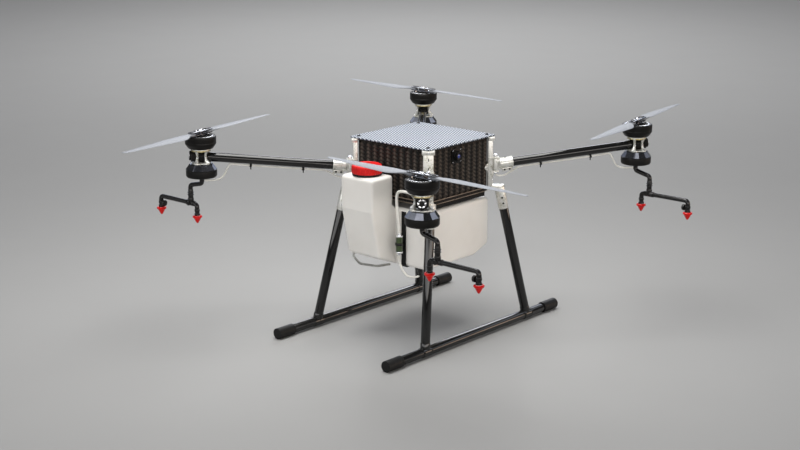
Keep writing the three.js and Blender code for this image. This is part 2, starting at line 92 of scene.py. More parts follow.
# ----- solids -----
class Solid:
    """Points in millimetres and faces, added together until they become one mesh."""

    def __init__(self, points=(), faces=()):
        self.points = [Vector(p) for p in points]
        self.faces = [tuple(f) for f in faces]

    def __add__(self, other):
        shift = len(self.points)
        moved = [tuple(i + shift for i in face) for face in other.faces]
        return Solid(self.points + other.points, self.faces + moved)

    def at(self, matrix):
        return Solid([matrix @ p for p in self.points], self.faces)

    def move(self, x=0, y=0, z=0):
        return self.at(Matrix.Translation((x, y, z)))

    def turn(self, angle, axis="Z"):
        return self.at(Matrix.Rotation(angle, 4, axis))

    def mirror(self, sx, sy):
        points = [Vector((p.x * sx, p.y * sy, p.z)) for p in self.points]
        faces = self.faces if sx * sy > 0 else [face[::-1] for face in self.faces]
        return Solid(points, faces)


def together(solids):
    return sum(solids, Solid())


def fillet(points, radius, steps=3, closed=False):
    """The same outline with its corners rounded. radius is one number or one for each point."""
    made = []
    count = len(points)
    for i, here in enumerate(points):
        here = Vector(here)
        r = radius[i] if isinstance(radius, (list, tuple)) else radius
        back = Vector(points[i - 1]) - here
        on = Vector(points[(i + 1) % count]) - here
        if r <= 0 or (not closed and i in (0, count - 1)) or back.angle(on) > 3.1:
            made.append(here)
            continue
        reach = min(r / tan(back.angle(on) / 2), 0.49 * back.length, 0.49 * on.length)
        start = here + back.normalized() * reach
        end = here + on.normalized() * reach
        for k in range(steps + 1):
            t = k / steps
            made.append(start * (1 - t) ** 2 + here * 2 * t * (1 - t) + end * t * t)
    return made


def inset(points, distance):
    """A flat outline drawn in by a distance. Its points run anticlockwise."""
    made = []
    for i, here in enumerate(points):
        here = Vector(here[:2])
        a = (here - Vector(points[i - 1][:2])).normalized()
        b = (Vector(points[(i + 1) % len(points)][:2]) - here).normalized()
        inward = Vector((-a.y - b.y, a.x + b.x))
        made.append(here + inward * (distance / max(0.3, 1 + a.dot(b))))
    return made


def loft(rings, loop=False):
    """A skin over rings that have the same number of points, seen anticlockwise from ahead."""
    count = len(rings[0])
    points = [p for ring in rings for p in ring]
    faces = []
    spans = len(rings) if loop else len(rings) - 1
    for i in range(spans):
        a, b = i * count, ((i + 1) % len(rings)) * count
        for j in range(count):
            k = (j + 1) % count
            faces.append((a + j, a + k, b + k, b + j))
    if not loop:
        faces.append(tuple(reversed(range(count))))
        faces.append(tuple((len(rings) - 1) * count + j for j in range(count)))
    return Solid(points, faces)


def prism(outline, z0, z1, edge=0.6):
    """An outline in plan run from z0 to z1, with its rims rounded."""
    rings = []
    edge = min(edge, (z1 - z0) / 2)
    for a in (0, pi / 4, pi / 2):
        rings.append((edge * (1 - sin(a)), z0 + edge * (1 - cos(a))))
    rings += [(d, z0 + z1 - z) for d, z in reversed(rings)]
    return loft([[(p[0], p[1], z) for p in inset(outline, d)] for d, z in rings])


def rectangle(x0, x1, y0, y1, corner=0, steps=3):
    return fillet([(x0, y0), (x1, y0), (x1, y1), (x0, y1)], corner, steps, closed=True)


def block(x0, x1, y0, y1, z0, z1, edge=0.6, corner=0):
    return prism(rectangle(x0, x1, y0, y1, corner), z0, z1, edge)


def circle(radius, sides):
    angles = [2 * pi * k / sides for k in range(sides)]
    return [(radius * cos(a), radius * sin(a)) for a in angles]


def lathe(profile, sides=40, wobble=None):
    """A solid of revolution about Z. The profile starts and ends on the axis. wobble changes its radius."""
    points = [(0, 0, profile[0][1])]
    faces = []
    rows = profile[1:-1]
    for r, z in rows:
        for k in range(sides):
            a = 2 * pi * k / sides
            reach = wobble(r, z, a) if wobble else r
            points.append((reach * cos(a), reach * sin(a), z))
    points.append((0, 0, profile[-1][1]))
    top = len(points) - 1
    for k in range(sides):
        n = (k + 1) % sides
        faces.append((0, 1 + n, 1 + k))
        for row in range(len(rows) - 1):
            a, b = 1 + row * sides, 1 + (row + 1) * sides
            faces.append((a + k, a + n, b + n, b + k))
        last = 1 + (len(rows) - 1) * sides
        faces.append((last + k, last + n, top))
    return Solid(points, faces)


def turned(profile, edge, sides=40, steps=2):
    """A lathe profile with its corners rounded, turned about Z."""
    return lathe(fillet(profile, edge, steps), sides)


def ring(inner, outer, low, high, edge=0.8, sides=40, steps=2):
    """A round collar about Z."""
    section = [(inner, low), (outer, low), (outer, high), (inner, high)]
    profile = fillet(section, edge, steps, closed=True)[::-1]
    rings = []
    for x, y in circle(1, sides):
        rings.append([(r * x, r * y, z) for r, z in profile])
    return loft(rings, loop=True)


def aim(start, end):
    """The matrix that takes the Z axis onto the line from start to end."""
    along = Vector(end) - Vector(start)
    return Matrix.Translation(start) @ along.to_track_quat("Z", "Y").to_matrix().to_4x4()


def disc(radius, low, high, edge=0.8, sides=40):
    return turned([(0, low), (radius, low), (radius, high), (0, high)], edge, sides)


def rod(start, end, radius, edge=0.8, sides=28):
    length = (Vector(end) - Vector(start)).length
    return disc(radius, 0, length, edge, sides).at(aim(start, end))


def pipe(start, end, outer, inner, edge=0.6, sides=32):
    length = (Vector(end) - Vector(start)).length
    return ring(inner, outer, 0, length, edge, sides).at(aim(start, end))


def smooth_path(points, steps=8):
    """Points along a smooth curve through the given ones."""
    points = [Vector(p) for p in points]
    padded = [points[0] * 2 - points[1]] + points + [points[-1] * 2 - points[-2]]
    made = []
    for i in range(1, len(padded) - 2):
        a, b, c, d = padded[i - 1:i + 3]
        for k in range(steps):
            t = k / steps
            made.append(0.5 * (
                2 * b + (c - a) * t + (2 * a - 5 * b + 4 * c - d) * t * t
                + (3 * b - 3 * c + d - a) * t ** 3
            ))
    made.append(points[-1])
    return made


def sweep(path, radius, sides=16):
    """A round tube along a path of vectors."""
    rings = []
    side = None
    for i, here in enumerate(path):
        ahead = path[min(i + 1, len(path) - 1)] - path[max(i - 1, 0)]
        ahead.normalize()
        if side is None:
            side = ahead.orthogonal().normalized()
        side = (side - ahead * side.dot(ahead)).normalized()
        other = ahead.cross(side)
        rings.append([here + side * x + other * y for x, y in circle(radius, sides)])
    return loft(rings)


def bent(points, bend, radius, sides=20, steps=7):
    return sweep(fillet(points, bend, steps), radius, sides)


def bolt(at, out, radius=2.6, head=2.6):
    """A socket-head screw whose head stands out from `at` along `out`."""
    socket = radius * 0.5
    profile = [
        (0, head * 0.35), (socket, head * 0.35), (socket, head), (radius * 0.86, head),
        (radius, head * 0.84), (radius, -1.5), (0, -1.5),
    ]
    at = Vector(at)
    return lathe(profile[::-1], 18).at(aim(at, at + Vector(out)))


def bolts(places, out, radius, head):
    return together([bolt(place, out, radius, head) for place in places])


def nut(at, out, radius, height):
    at = Vector(at)
    return prism(circle(radius, 6), 0, height, 0.7).at(aim(at, at + Vector(out)))


# ----- materials -----
class Nodes:
    """A node tree, with short names for the nodes that it is wired from."""

    def __init__(self, tree):
        self.tree = tree

    def node(self, kind, inputs=None, **settings):
        made = self.tree.nodes.new(kind)
        for key, value in settings.items():
            setattr(made, key, value)
        for key, value in (inputs or {}).items():
            if isinstance(value, bpy.types.NodeSocket):
                self.tree.links.new(value, made.inputs[key])
            else:
                made.inputs[key].default_value = value
        return made

    def math(self, operation, a, b=0.0, clamp=False):
        return self.node("ShaderNodeMath", {0: a, 1: b}, operation=operation, use_clamp=clamp).outputs[0]

    def plus(self, a, b, clamp=False):
        return self.math("ADD", a, b, clamp)

    def minus(self, a, b, clamp=False):
        return self.math("SUBTRACT", a, b, clamp)

    def times(self, a, b):
        return self.math("MULTIPLY", a, b)


LOOK = {}


class Finish(Nodes):
    """One material, kept in LOOK. Its patterns lie in the object's own place."""

    def __init__(self, name, metallic=0.0, specular=0.5):
        self.material = bpy.data.materials.new(name)
        self.material.use_nodes = True
        LOOK[name] = self.material
        super().__init__(self.material.node_tree)
        self.shader = self.tree.nodes["Principled BSDF"]
        self.set("Metallic", metallic)
        self.set("Specular IOR Level", specular)
        self.place = self.node("ShaderNodeTexCoord").outputs["Object"]

    def set(self, socket, value):
        self.shader.inputs[socket].default_value = value

    def link(self, output, socket):
        self.tree.links.new(output, self.shader.inputs[socket])

    def stretched(self, scale, turn=(0, 0, 0), kind="POINT"):
        inputs = {"Vector": self.place, "Scale": scale, "Rotation": turn}
        return self.node("ShaderNodeMapping", inputs, vector_type=kind).outputs[0]

    def noise(self, scale, detail=3.0, rough=0.5, place=None):
        inputs = {"Vector": place or self.place, "Scale": scale, "Detail": detail, "Roughness": rough}
        return self.node("ShaderNodeTexNoise", inputs).outputs["Fac"]

    def colour(self, value, *stops):
        """Colours the surface by a ramp. Each stop is a position and a colour."""
        made = self.node("ShaderNodeValToRGB", {"Fac": value})
        elements = made.color_ramp.elements
        while len(elements) < len(stops):
            elements.new(0.5)
        for element, (position, colour) in zip(elements, stops):
            element.position = position
            element.color = (*colour, 1)
        self.link(made.outputs["Color"], "Base Color")

    def roughness(self, value, low, high):
        spread = self.node("ShaderNodeMapRange", {"Value": value, 3: low, 4: high})
        self.link(spread.outputs[0], "Roughness")

    def bump(self, height, strength, distance):
        made = self.node("ShaderNodeBump", {"Height": height, "Strength": strength, "Distance": distance})
        self.link(made.outputs["Normal"], "Normal")


def grey(level):
    return (level, level, level)


def carbon_top():
    """Slanting strokes on a centred lattice, from two crossed waves of unequal strength, coloured pale
    blue-grey as painted reflection.
    """
    made = Finish("carbon_top", specular=0.05)
    place = made.stretched((0.0094, 0.03, 1), (0, 0, radians(41.5)), "TEXTURE")
    parts = made.node("ShaderNodeSeparateXYZ", {0: place}).outputs
    waves = []
    for name, weight in (("ADD", 0.3), ("SUBTRACT", 0.21)):
        turns = made.times(made.math(name, parts["X"], parts["Y"]), 2 * pi)
        waves.append(made.times(made.math("COSINE", turns), weight))
    stroke = made.plus(made.plus(*waves), 0.5, clamp=True)
    # The weave is the plate's own. The pale blue-grey of its strokes is painted reflection of the bright
    # room behind, and the plate's own specular is nearly off.
    made.colour(
        stroke, (0.28, (0.026, 0.034, 0.054)), (0.5, (0.11, 0.13, 0.165)), (0.76, (0.46, 0.485, 0.52)),
    )
    made.roughness(stroke, 0.58, 0.42)
    made.bump(stroke, 0.2, 0.0003)


def braid_highlight(made):
    """Saw-toothed bands of painted highlight up the middle of the panel's columns, on whichever pair of
    faces.
    """
    parts = made.node("ShaderNodeSeparateXYZ", {0: made.place}).outputs
    on_x = made.math("GREATER_THAN", made.math("ABSOLUTE", parts["X"]), 0.148)
    off_x = made.minus(1.0, on_x)
    across = made.plus(made.times(parts["Y"], on_x), made.times(parts["X"], off_x))
    u = made.minus(made.math("FRACT", made.math("DIVIDE", across, MM * COLUMN_PITCH)), 0.5)
    rise = made.math("DIVIDE", parts["Z"], MM * TWIST_PITCH)
    slant = made.times(made.math("ABSOLUTE", u), 1.1)
    tooth = made.math("FRACT", made.plus(rise, slant))
    edge = made.times(made.math("ABSOLUTE", made.minus(u, 0.04)), 1.75)
    band = made.minus(1.0, edge)
    return made.minus(band, made.times(tooth, 0.55), clamp=True)


def carbon_panel():
    made = Finish("carbon_panel", specular=0.2)
    fibres = made.noise(60, place=made.stretched((14, 14, 1.2), (0.5, 0, 0)))
    light = made.plus(braid_highlight(made), made.times(made.minus(fibres, 0.5), 0.25))
    # The light end of this ramp is painted highlight along the ropes. The dark end is the carbon's own
    # colour.
    made.colour(
        light, (0.1, (0.0045, 0.0037, 0.003)), (0.36, (0.02, 0.0155, 0.012)), (0.85, (0.08, 0.064, 0.052)),
    )
    made.roughness(fibres, 0.42, 0.6)
    made.bump(fibres, 0.3, 0.0004)


def carbon_tube():
    made = Finish("tube_black", specular=0.03)
    inputs = {"Vector": made.place, "Scale": 190.0, "Distortion": 1.2, "Detail": 1.0}
    weave = made.node("ShaderNodeTexWave", inputs, bands_direction="DIAGONAL").outputs["Fac"]
    made.colour(weave, (0.2, grey(0.002)), (0.9, grey(0.008)))
    made.roughness(made.noise(40), 0.34, 0.5)
    made.set("Coat Weight", 0.8)
    made.set("Coat Roughness", 0.03)
    made.set("Coat IOR", 1.55)
    made.bump(weave, 0.12, 0.0002)


def cast_metal():
    made = Finish("cast_aluminium", metallic=0.65)
    speck = made.noise(210, 4, 0.7)
    cloud = made.noise(45)
    both = made.plus(made.times(speck, 0.62), made.times(cloud, 0.38))
    made.colour(both, (0.32, (0.26, 0.25, 0.17)), (0.42, (0.52, 0.52, 0.45)), (0.5, (0.73, 0.73, 0.7)))
    made.roughness(cloud, 0.24, 0.42)
    made.bump(speck, 0.35, 0.0005)


def turned_steel():
    made = Finish("steel_bright", metallic=1.0)
    lines = made.noise(90, place=made.stretched((1, 1, 6)))
    made.colour(lines, (0.3, (0.72, 0.74, 0.77)), (0.7, (0.9, 0.91, 0.93)))
    made.roughness(lines, 0.18, 0.3)
    made.bump(lines, 0.05, 0.0002)


def tank_plastic():
    made = Finish("tank_white")
    made.colour(made.noise(5), (0.3, (0.71, 0.69, 0.655)), (0.7, (0.8, 0.785, 0.75)))
    made.roughness(made.noise(22, 4), 0.28, 0.42)
    made.set("Subsurface Weight", 0.15)
    made.set("Subsurface Radius", (1.0, 0.9, 0.8))
    made.set("Subsurface Scale", 0.006)
    made.bump(made.noise(380, 2), 0.08, 0.0003)


def clouded(name, cloud, dark, light, roughness, grain=None, relief=None, coat=0, ramp=(0.3, 0.7), **shine):
    """
    A finish whose colour and roughness drift with one cloud of noise. ramp holds where dark and light lie.
    grain is the scale and strength of a finer relief, relief the strength and distance of the cloud's own.
    """
    made = Finish(name, **shine)
    drift = made.noise(*cloud)
    made.colour(drift, (ramp[0], dark), (ramp[1], light))
    made.roughness(drift, *roughness)
    if grain:
        scale, strength = grain
        made.bump(made.noise(scale, 2), strength, 0.0002)
    if relief:
        made.bump(drift, *relief)
    if coat:
        made.set("Coat Weight", coat)


carbon_top()
carbon_panel()
carbon_tube()
cast_metal()
turned_steel()
tank_plastic()
clouded("ring_gold", (120,), (0.42, 0.34, 0.15), (0.78, 0.7, 0.42), (0.22, 0.42), metallic=0.9)
clouded("can_black", (14, 4), grey(0.003), (0.009, 0.008, 0.007), (0.28, 0.46), (600, 0.12), specular=0.18,
        ramp=(0.35, 0.8))
clouded("facet_black", (30,), (0.09, 0.094, 0.108), (0.15, 0.154, 0.172), (0.06, 0.14), metallic=0.9,
        ramp=(0.3, 0.8))
clouded("blade_grey", (170, 3, 0.6), (0.165, 0.175, 0.195), (0.228, 0.24, 0.262), (0.42, 0.58), (420, 0.1),
        specular=0.12)
clouded("cap_red", (35,), (0.4464, 0.00648, 0.00576), (0.62, 0.009, 0.008), (0.34, 0.48), (320, 0.1),
        specular=0.3)
clouded("nozzle_red", (35,), (0.4752, 0.0036, 0.00288), (0.66, 0.005, 0.004), (0.24, 0.36), (400, 0.1),
        specular=0.3)
clouded("pipe_black", (50,), grey(0.003), (0.009, 0.008, 0.008), (0.16, 0.32), (500, 0.1), specular=0.4,
        ramp=(0.3, 0.8))
clouded("hose_white", (30,), (0.64, 0.63, 0.58), (0.8, 0.79, 0.75), (0.26, 0.44), (300, 0.05))
clouded("rubber_black", (260,), grey(0.003), grey(0.01), (0.42, 0.62), relief=(0.3, 0.0003), specular=0.2,
        ramp=(0.3, 0.8))
# Tan of the thin rods round the box, which are painted highlights.
clouded("highlight_tan", (60,), (0.16, 0.115, 0.085), (0.4, 0.31, 0.235), (0.25, 0.45), (300, 0.1))
clouded("hose_grey", (50,), (0.2, 0.2, 0.185), (0.4, 0.4, 0.375), (0.3, 0.5), (300, 0.08))
clouded("pack_grey", (24, 5, 0.7), (0.05, 0.055, 0.06), (0.12, 0.13, 0.145), (0.3, 0.6),
        relief=(0.4, 0.001), ramp=(0.3, 0.8))
clouded("filter_green", (60,), (0.015, 0.032, 0.01), (0.055, 0.085, 0.022), (0.1, 0.25), coat=0.6,
        ramp=(0.3, 0.8))
# The lens's blue is painted glint of its coating, laid into the base colour.
clouded("lens_glass", (40, 2), (0.008, 0.016, 0.11), (0.03, 0.07, 0.42), (0.03, 0.08), coat=1.0,
        specular=0.9)


def placed(name, data):
    made = bpy.data.objects.new(name, data)
    bpy.context.scene.collection.objects.link(made)
    return made


def piece(name, solid, look, *stands_for, body="root", sharp=32):
    """Makes the mesh, gives it its finish and puts it on its body."""
    mesh = bpy.data.meshes.new(name)
    mesh.from_pydata([p * MM for p in solid.points], [], solid.faces)
    mesh.shade_smooth()
    mesh.set_sharp_from_angle(angle=radians(sharp))
    mesh.materials.append(LOOK[look])
    made = placed(name, mesh)
    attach(made, body)
    if stands_for:
        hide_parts(*stands_for)


# ----- camera and light -----
VIEW_AZIMUTH, VIEW_ELEVATION = radians(41.51), radians(14.65)
VIEW_ACROSS, VIEW_UP, VIEW_BACK = -74.83, 326.94, 5165.4
VIEW_LENS, VIEW_SENSOR = 69.07, 36
FLOOR_HALF = 30
# Each lamp on the horizon: its heading, the cosines where it fades and is full, the heights where it
# starts, is full, is last full and ends, and its colour.
ROOM_LAMPS = (
    ((-0.66, 0.75), 0.6, 0.88, (0.14, 0.2, 0.36, 0.44), (1.00, 1.1, 1.35)),
    ((0.97, -0.24), 0.62, 0.9, (0.03, 0.07, 0.26, 0.4), (3.75, 3.55, 3.35)),
    ((-0.1, -0.99), 0.6, 0.9, (0.03, 0.07, 0.26, 0.4), (2.7, 2.7, 2.7)),
    ((0.12, -0.99), 0.8, 0.93, (0.74, 0.78, 0.88, 0.91), (3.2, 3.2, 3.3)),
    ((0.47, 0.88), 0.93, 0.97, (0.4, 0.45, 0.62, 0.67), (1.7, 1.8, 2.0)),
    ((-0.79, -0.61), 0.93, 0.97, (0.54, 0.58, 0.68, 0.72), (1.4, 1.45, 1.5)),
    ((-0.58, 0.81), 0.95, 0.98, (0.38, 0.42, 0.54, 0.58), (4.6, 4.7, 5.0)),
    ((0.68, 0.73), 0.96, 0.985, (0.0, 0.03, 0.15, 0.19), (6.4, 4.8, 3.7)),
)
ROOM_BASE = 0.055


def set_camera():
    level = Vector((sin(VIEW_AZIMUTH), -cos(VIEW_AZIMUTH), 0))
    back = level * cos(VIEW_ELEVATION) + Vector((0, 0, sin(VIEW_ELEVATION)))
    right = Vector((-level.y, level.x, 0))
    camera = placed("camera", bpy.data.cameras.new("camera"))
    camera.data.lens = VIEW_LENS
    camera.data.sensor_width = VIEW_SENSOR
    camera.data.clip_end = 100
    camera.location = (right * VIEW_ACROSS + back.cross(right) * VIEW_UP + back * VIEW_BACK) * MM
    camera.rotation_mode = "QUATERNION"
    camera.rotation_quaternion = (-back).to_track_quat("-Z", "Y")
    bpy.context.scene.camera = camera


def overhead_light(place, size, power, colour):
    """A soft lamp that hangs level, square to the camera, and shines straight down."""
    light = bpy.data.lights.new("overhead", "AREA")
    light.shape = "RECTANGLE"
    light.size, light.size_y = size
    light.energy = power
    light.color = colour
    made = placed("overhead", light)
    made.location = place
    made.rotation_euler = (0, 0, radians(41.5))


def room():
    """A dim room with bright bands low behind, ahead and to the side, and smaller lamps."""
    world = bpy.data.worlds.new("studio")
    world.use_nodes = True
    made = Nodes(world.node_tree)
    place = made.node("ShaderNodeTexCoord").outputs["Generated"]
    height = made.node("ShaderNodeSeparateXYZ", {0: place}).outputs["Z"]

    def edge(value, start, end):
        inputs = {"Value": value, "From Min": start, "From Max": end}
        return made.node("ShaderNodeMapRange", inputs, interpolation_type="SMOOTHSTEP").outputs["Result"]

    def vector(operation, inputs):
        return made.node("ShaderNodeVectorMath", inputs, operation=operation).outputs

    total = (ROOM_BASE, ROOM_BASE, ROOM_BASE)
    for heading, outer, inner, (start, full, last, end), colour in ROOM_LAMPS:
        toward = Vector((*heading, 0)).normalized()
        facing = vector("DOT_PRODUCT", {0: place, 1: toward})["Value"]
        flat = cos(asin((full + last) / 2))
        band = made.times(edge(height, start, full), edge(height, end, last))
        mask = made.times(edge(facing, outer * flat, inner * flat), band)
        tint = vector("SCALE", {0: colour, "Scale": mask})[0]
        total = vector("ADD", {0: tint, 1: total})[0]
    background = world.node_tree.nodes["Background"]
    made.tree.links.new(total, background.inputs["Color"])
    bpy.context.scene.world = world


def studio():
    floor = Finish("floor", specular=0.1)
    floor.set("Roughness", 0.9)
    floor.colour(floor.noise(3, 2), (0.0, (0.305, 0.305, 0.302)), (1.0, (0.315, 0.315, 0.312)))
    mesh = bpy.data.meshes.new("floor")
    corners = [(FLOOR_HALF * x, FLOOR_HALF * y, 0) for x, y in ((-1, -1), (1, -1), (1, 1), (-1, 1))]
    mesh.from_pydata(corners, [], [(0, 1, 2, 3)])
    mesh.materials.append(floor.material)
    placed("floor", mesh)
    room()
    overhead_light((-0.1, -0.15, 2.5), (1.6, 1.9), 83, (1.0, 0.99, 0.97))
    overhead_light((-4.3, 4.9, 3.4), (4.4, 6.0), 205, (1.0, 1.0, 1.0))
    bpy.context.scene.view_settings.view_transform = "Standard"


# ----- equipment box -----
def four_sides(solid):
    return together([solid.turn(i * pi / 2) for i in range(4)])


def rope_relief(across, up):
    """How far a rope-like column of the moulded panel stands out, from 0 to 1."""
    u = across / COLUMN_PITCH
    u = u % 1 - 0.5
    swell = sqrt(max(0.0, 1 - (2 * u) ** 2))
    strand = abs(sin(pi * (up / TWIST_PITCH + 0.9 * u)))
    return swell * (0.45 + 0.55 * strand)


def ribbed_panel():
    """The front panel, in its own place, with a grid of relief on its outer face."""
    depth, base, rows = 4.6, PANEL_FACE - 3.4, 112
    width, rise = 2 * PANEL_HALF, PANEL_TOP - PANEL_BASE
    columns = 10 * round(width / COLUMN_PITCH)
    points = []
    for row in range(rows + 1):
        up = rise * row / rows
        for column in range(columns + 1):
            across = width * column / columns
            fade = min(1, max(0.0, (rise - 9 - up) / 4)) * min(1, max(0.0, (up - 8) / 4))
            out = base + depth * fade * rope_relief(across, up)
            points.append((out, across - PANEL_HALF, PANEL_BASE + up))
    stride = columns + 1
    starts = [row * stride + column for row in range(rows) for column in range(columns)]
    faces = [(a, a + 1, a + stride + 1, a + stride) for a in starts]
    rim = list(range(stride))
    rim += [row * stride + columns for row in range(1, rows + 1)]
    rim += [rows * stride + column for column in reversed(range(columns))]
    rim += [row * stride for row in reversed(range(1, rows))]
    back = list(range(len(points), len(points) + len(rim)))
    points += [(PANEL_FACE - 4.5, *points[index][1:]) for index in rim]
    for i in range(len(rim)):
        n = (i + 1) % len(rim)
        faces.append((rim[n], rim[i], back[i], back[n]))
    faces.append(tuple(reversed(back)))
    return Solid(points, faces)


def equipment_box():
    half = PLATE_HIGH.x
    outline = rectangle(-half, half, -half, half, 14, 6)
    piece("top_plate_skin", prism(outline, PLATE_LOW.z, PLATE_HIGH.z, 0.9), "carbon_top", "top_plate")
    corners = [(sx * 148, sy * 148, PLATE_HIGH.z - 0.4) for sx, sy in CORNERS.values()]
    piece("top_plate_screws", bolts(corners, UP, 5.6, 3.4), "rubber_black")

    for i, name in enumerate(["front_panel", "left_panel", "rear_panel", "right_panel"]):
        piece(f"{name}_skin", ribbed_panel().turn(i * pi / 2), "carbon_panel", name, sharp=70)

    # Black strip under the plate, which is painted shade standing for the shadow gap there, and a black band
    # at the panels' foot. Thin tan rods round the box and tray are painted highlights of glossy edges.
    inner = PANEL_FACE - 5
    band = block(inner, PANEL_FACE + 1.5, -148, 148, PANEL_TOP - 6.5, PANEL_TOP + 0.3, 0.4)
    band += block(inner, PANEL_FACE + 1, -146, 146, PANEL_BASE, PANEL_BASE + 3.5, 0.4)
    piece("box_shade_strip_and_foot_band", four_sides(band), "can_black")
    # Tan rods: painted highlights along the plate's lower edge, the panels' foot and the tray's edge.
    highlight_rods = []
    for z, out in ((PANEL_TOP - 1.6, 1), (PANEL_BASE + 5.2, 0.0), (PANEL_BASE - 6.5, -0.4)):
        highlight_rods.append(rod((PANEL_FACE + out, -140, z), (PANEL_FACE + out, 140, z), 1.2, 0.4, 12))
    piece("box_highlight_rods", four_sides(together(highlight_rods)), "highlight_tan")

    cut = PANEL_HALF - 2
    edge = TRAY_HIGH.x
    corners = []
    for sx, sy in [(1, 1), (-1, 1), (-1, -1), (1, -1)]:
        corners += [(sx * edge, sy * cut), (sx * cut, sy * edge)][::sx * sy]
    tray = prism(corners, TRAY_HIGH.z - 4, TRAY_HIGH.z, 0.7)
    rail = block(-7, 7, TRAY_LOW.y + 22, TRAY_HIGH.y - 22, TRAY_LOW.z, TRAY_HIGH.z - 3, 1.2)
    piece("tray_floor", tray + rail.move(-144) + rail.move(144), "can_black", "base_tray")


def camera_unit():
    middle = (CAMERA_LOW + CAMERA_HIGH) / 2
    half = (CAMERA_HIGH.z - CAMERA_LOW.z) / 2
    reach = CAMERA_HIGH.x - PANEL_FACE
    toward = aim((PANEL_FACE, middle.y, middle.z), (PANEL_FACE + 10, middle.y, middle.z))
    base = prism(rectangle(-half, half, -half, half, 6), 0.3, 4.5, 1)
    barrel = turned([
        (0, 3), (17.5, 3), (17.5, 8), (16, 9.5), (16, reach), (13, reach), (11, reach - 3), (0, reach - 3.5),
    ], 0.6, 48)
    grips = [disc(0.8, 9, reach - 1.5, 0.2, 8).move(x, y) for x, y in circle(16, 30)]
    piece("camera_body", (base + barrel + together(grips)).at(toward), "can_black", "camera")
    glass = lathe([(0, 11.5), (8.6, 11.5), (8, 13), (6.2, 14.3), (3.4, 15.1), (0, 15.4)], 36)
    piece("camera_lens", glass.at(toward), "lens_glass")
    places = [(sx * (half - 5), sy * (half - 5), 4.2) for sx, sy in CORNERS.values()]
    piece("camera_screws", bolts(places, UP, 2, 1.4).at(toward), "steel_bright")


def battery():
    low, high = node_box("battery")
    top = high.z - 15
    piece("battery_pack", block(low.x, high.x, low.y, high.y, low.z, top, 5, 8), "pack_grey", "battery")
    strap = block(-12, 12, low.y - 0.2, high.y + 0.2, low.z + 0.3, top + 0.8, 1, 4)
    handle = bent([(-42, 0, top - 2), (-38, 0, high.z - 3), (38, 0, high.z - 3), (42, 0, top - 2)], 9, 3)
    piece("battery_straps", strap.move(-62) + strap.move(62) + handle, "rubber_black")


def pump():
    low, high = node_box("pump")
    middle, level = (low.y + high.y) / 2, (low.z + high.z) / 2

    def along(x0, x1, radius, edge):
        return rod((x0, middle, level), (x1, middle, level), radius, edge)

    head = block(70, high.x, low.y, high.y, low.z, high.z, 2.5, 5)
    motor = along(58, 71, 19, 1.5) + along(low.x, 59, 17.5, 2.5)
    fins = [along(x, x + 2.4, 19, 0.6) for x in range(4, 45, 8)]
    piece("pump_head", head + motor + together(fins), "can_black", "pump")
    places = [(high.x - 2.7, middle + a, level + b) for a in (-17, 17) for b in (-13, 13)]
    piece("pump_screws", bolts(places, OUT, 2.6, 2), "steel_bright")


# ----- corner: post, leg and skid -----
LEG_TOP = Vector((182.5, 174, 466))
LEG_FOOT = Vector((237, 262, 18.5))
LEG_LINE = (LEG_FOOT - LEG_TOP).normalized()
LEG_FRAME = aim(LEG_TOP - LEG_LINE * 6, LEG_FOOT)
TUBE = 15
POST_INNER, POST_OUTER, POST_HALF = 212, 228.5, 16.5


def swapped(solid):
    """The mirror image about the corner's diagonal."""
    return Solid([Vector((p.y, p.x, p.z)) for p in solid.points], [face[::-1] for face in solid.faces])


def corner_post():
    top = PLATE_LOW.z - 0.3
    bar = block(POST_INNER, POST_OUTER, -POST_HALF, POST_HALF, TRAY_HIGH.z - 4, top, 1, 3.5)
    head = block(POST_INNER, POST_OUTER + 5, -POST_HALF - 4, POST_HALF + 4, top - 14, top, 1.5, 4)
    low_band = block(POST_INNER, POST_OUTER + 3, -POST_HALF - 2, POST_HALF + 2, 562, 568, 1.2, 4)
    root, pivot = POST_OUTER - 4, PIVOT.xy.length
    lug = fillet(
        [(root, -11), (pivot, -11), (pivot + 11, -11), (pivot + 11, 11), (pivot, 11), (root, 11)],
        [0, 0, 11, 11, 0, 0], 6, closed=True,
    )
    lugs = prism(lug, 515, 521, 1) + prism(lug, 561, 567, 1)
    web = block(POST_OUTER - 3, POST_OUTER + 4, -9, 9, 500, 516, 1.2, 2)
    shelf = block(POST_OUTER - 6, 255, -POST_HALF, POST_HALF, 461, 473, 1.5, 4)
    casting = together([bar, head, low_band, lugs, web, shelf]).turn(pi / 4)
    outline = [(122, 533), (150, 510), (158, 510), (158, 556), (150, 556)]
    gusset = prism(fillet(outline, [5, 3, 2, 2, 3], 3, closed=True), PANEL_FACE + 0.8, PANEL_FACE + 4.6, 0.7)
    cheek = gusset.at(UPRIGHT)
    clamp = ring(TUBE + 0.3, 17, 6, 80, 0.7) + disc(17, 1, 6.5, 1.5) + block(15, 27, -6, 6, 18, 74, 1.5, 2)
    return casting + cheek + swapped(cheek) + clamp.at(LEG_FRAME)


def corner_screws():
    pivot = PIVOT.xy.length
    post = [
        bolt((POST_OUTER + 4.6, 0, PLATE_LOW.z - 7.5), OUT, 3.2, 1.6),
        nut((pivot, 0, 567), UP, 8, 6),
        nut((pivot, 0, 515), (0, 0, -1), 8, 5),
        rod((pivot, 0, 508), (pivot, 0, 576), 5, 0.8),
    ]
    pairs = [(POST_OUTER - 0.3, side * 10, z) for side in (-1, 1) for z in (490, 546)]
    post.append(bolts(pairs, OUT, 2.6, 1.4))
    places = [(PANEL_FACE + 4.3, y, z) for y, z in ((133, 533), (147, 545), (147, 521))]
    cheek = bolts(places, OUT, 2.4, 1.4)
    grips = [bolt((21.5, side * 6, z), (0, side, 0), 3.4, 3) for side in (-1, 1) for z in (30, 60)]
    return together(post).turn(pi / 4) + cheek + swapped(cheek) + together(grips).at(LEG_FRAME)


def post_slots():
    slot = block(POST_OUTER - 1, POST_OUTER + 0.25, -1.6, 1.6, 572, 581, 0.2, 1.2)
    return (slot + slot.move(z=30)).turn(pi / 4)


